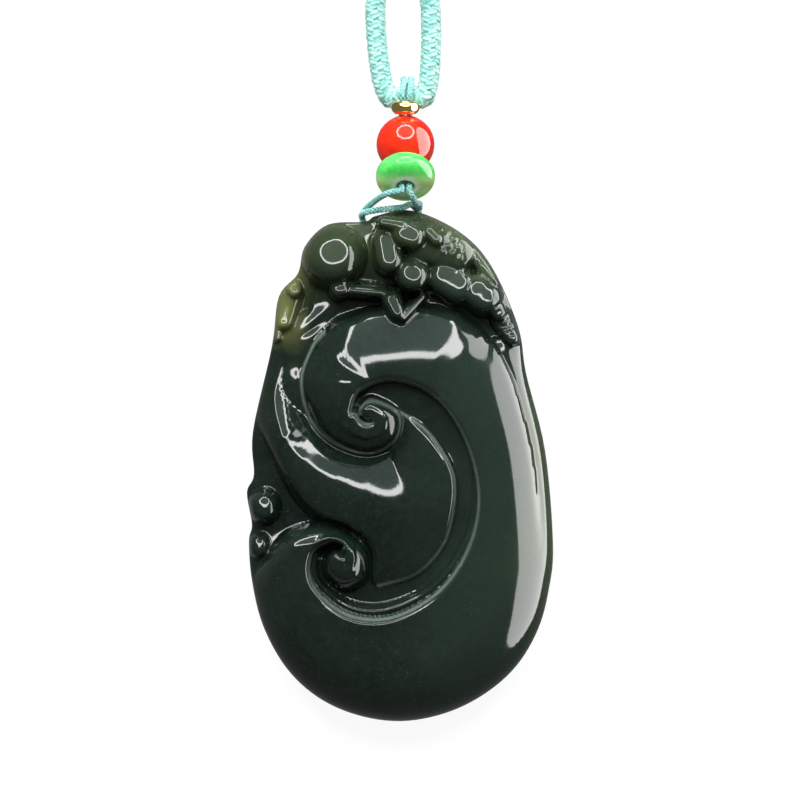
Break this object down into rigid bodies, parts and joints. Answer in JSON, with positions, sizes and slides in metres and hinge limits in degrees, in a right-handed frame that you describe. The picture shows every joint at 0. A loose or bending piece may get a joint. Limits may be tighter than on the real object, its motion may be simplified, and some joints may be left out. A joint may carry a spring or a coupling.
{
  "type": "carved jade pendant",
  "caption": "Dark green jade pendant carved as a ruyi scroll with a crouching beast, strung with beads on a braided necklace cord, lying on its flat back.",
  "frame": {"origin": "on the flat back, under the middle of the jade's outline", "axes": "+X right as worn, +Y towards the beads and the necklace cord, +Z out of the carved front"},
  "size_m": [0.0345, 0.1132, 0.0095],
  "materials": {
    "jade": "polished dark green nephrite with olive edges",
    "red_agate": "polished, slightly translucent orange-red",
    "green_agate": "polished, translucent, green to pale yellow-green",
    "gold": "polished gold-coloured metal",
    "thin_cord": "tight thin braid, teal with pale flecks",
    "necklace_cord": "round braid, pale mint with teal flecks"
  },
  "bodies": {
    "root": {"jade_pendant": "jade", "red_bead": "red_agate", "green_bead": "green_agate", "gold_bead": "gold", "hanging_loop": "thin_cord", "necklace_cord": "necklace_cord", "necklace_coil": "necklace_cord"}
  },
  "joints": []
}
